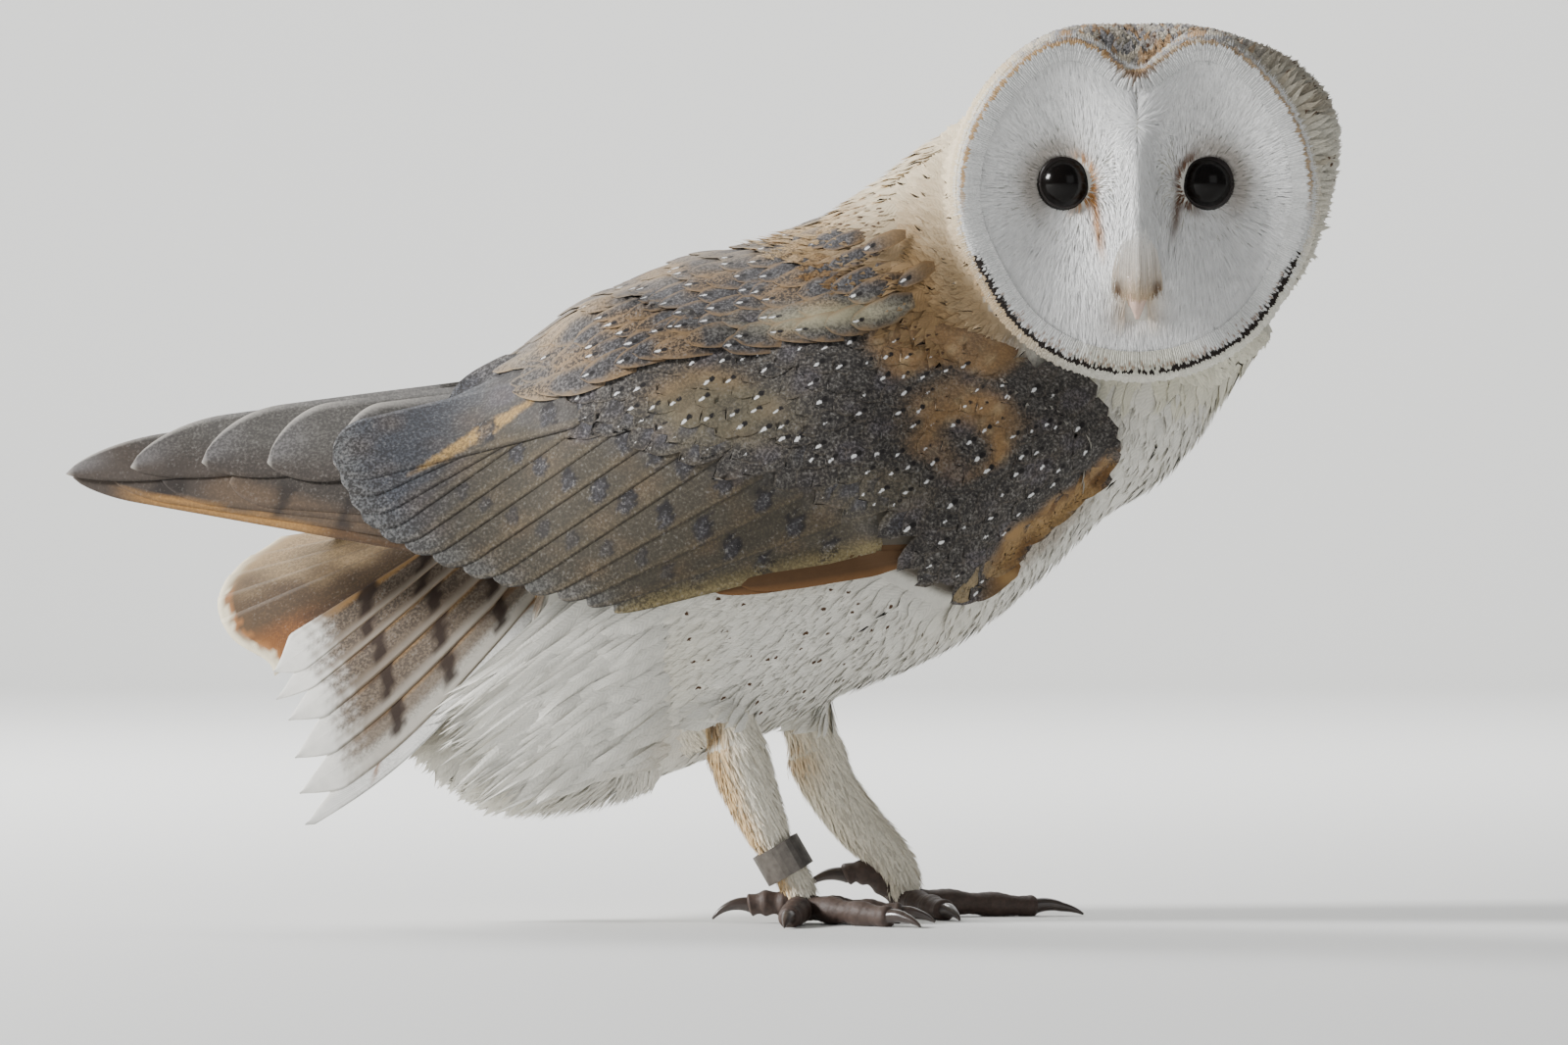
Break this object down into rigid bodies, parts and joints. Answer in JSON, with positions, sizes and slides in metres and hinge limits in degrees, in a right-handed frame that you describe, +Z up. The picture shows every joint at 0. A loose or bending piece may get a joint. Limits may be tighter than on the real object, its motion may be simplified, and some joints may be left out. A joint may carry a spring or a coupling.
{
  "type": "barn owl",
  "caption": "Life-size barn owl, still, standing on both feet in side view with its heart-shaped face turned to look past its right wing, and a plain metal ring on its right leg.",
  "frame": {"origin": "middle of the owl's bounding box in plan, at floor level under its feet", "axes": "+X is the way the body faces, +Y is the owl's left side, +Z is up; the head is turned to look along -Y"},
  "size_m": [0.352, 0.116, 0.2489],
  "materials": {
    "white_plumage": "soft, matt feathers",
    "buff_and_grey_plumage": "soft, matt feathers",
    "barred_tail_plumage": "matt feathers",
    "black_eye": "wet gloss",
    "bill_horn": "satin horn",
    "claw_horn": "satin horn",
    "toe_skin": "scaly matt skin",
    "aluminium_ring": "dull, scuffed metal"
  },
  "bodies": {
    "root": {"trunk": "white_plumage", "neck": "white_plumage", "head": "white_plumage", "thigh_right": "white_plumage", "thigh_left": "white_plumage", "tarsus_right": "white_plumage", "tarsus_left": "white_plumage", "wing_right": "buff_and_grey_plumage", "primaries_right": "buff_and_grey_plumage", "eye_right": "black_eye", "hallux_right": "toe_skin", "hallux_claw_right": "claw_horn", "inner_toe_right": "toe_skin", "inner_toe_claw_right": "claw_horn", "middle_toe_right": "toe_skin", "middle_toe_claw_right": "claw_horn", "outer_toe_right": "toe_skin", "outer_toe_claw_right": "claw_horn", "wing_left": "buff_and_grey_plumage", "primaries_left": "buff_and_grey_plumage", "eye_left": "black_eye", "hallux_left": "toe_skin", "hallux_claw_left": "claw_horn", "inner_toe_left": "toe_skin", "inner_toe_claw_left": "claw_horn", "middle_toe_left": "toe_skin", "middle_toe_claw_left": "claw_horn", "outer_toe_left": "toe_skin", "outer_toe_claw_left": "claw_horn", "rump": "buff_and_grey_plumage", "tail": "barred_tail_plumage", "bill_upper": "bill_horn", "bill_lower": "bill_horn", "leg_ring": "aluminium_ring"}
  },
  "joints": []
}
